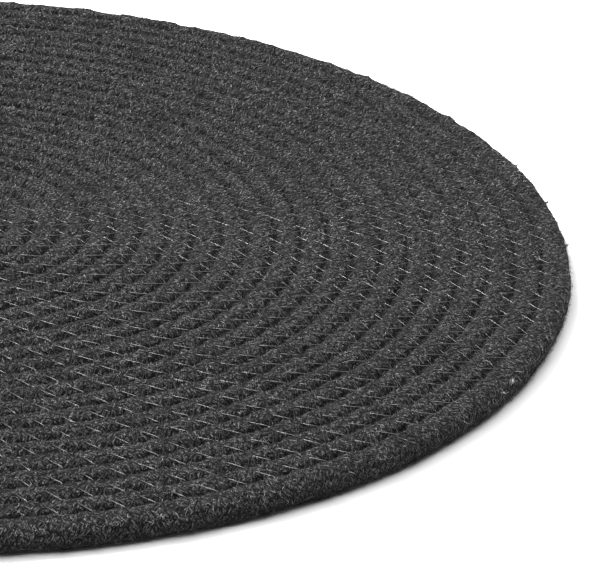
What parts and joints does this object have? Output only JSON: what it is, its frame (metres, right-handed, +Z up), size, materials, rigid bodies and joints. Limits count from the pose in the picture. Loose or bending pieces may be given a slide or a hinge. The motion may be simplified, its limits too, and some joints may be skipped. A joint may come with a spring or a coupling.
{
  "type": "placemat",
  "caption": "Round placemat of soft braided rope, coiled flat from the middle and sewn turn to turn with a zigzag stitch.",
  "frame": {"origin": "middle of the outline, on the surface the mat lies on", "axes": "+Z up, out of the mat's upper face; the rope's outer end lies at -X"},
  "size_m": [0.3782, 0.3798, 0.008],
  "materials": {
    "charcoal_yarn": "matt charcoal melange cotton yarn, slightly fuzzy"
  },
  "bodies": {
    "root": {"rope_coil": "charcoal_yarn"}
  },
  "joints": []
}
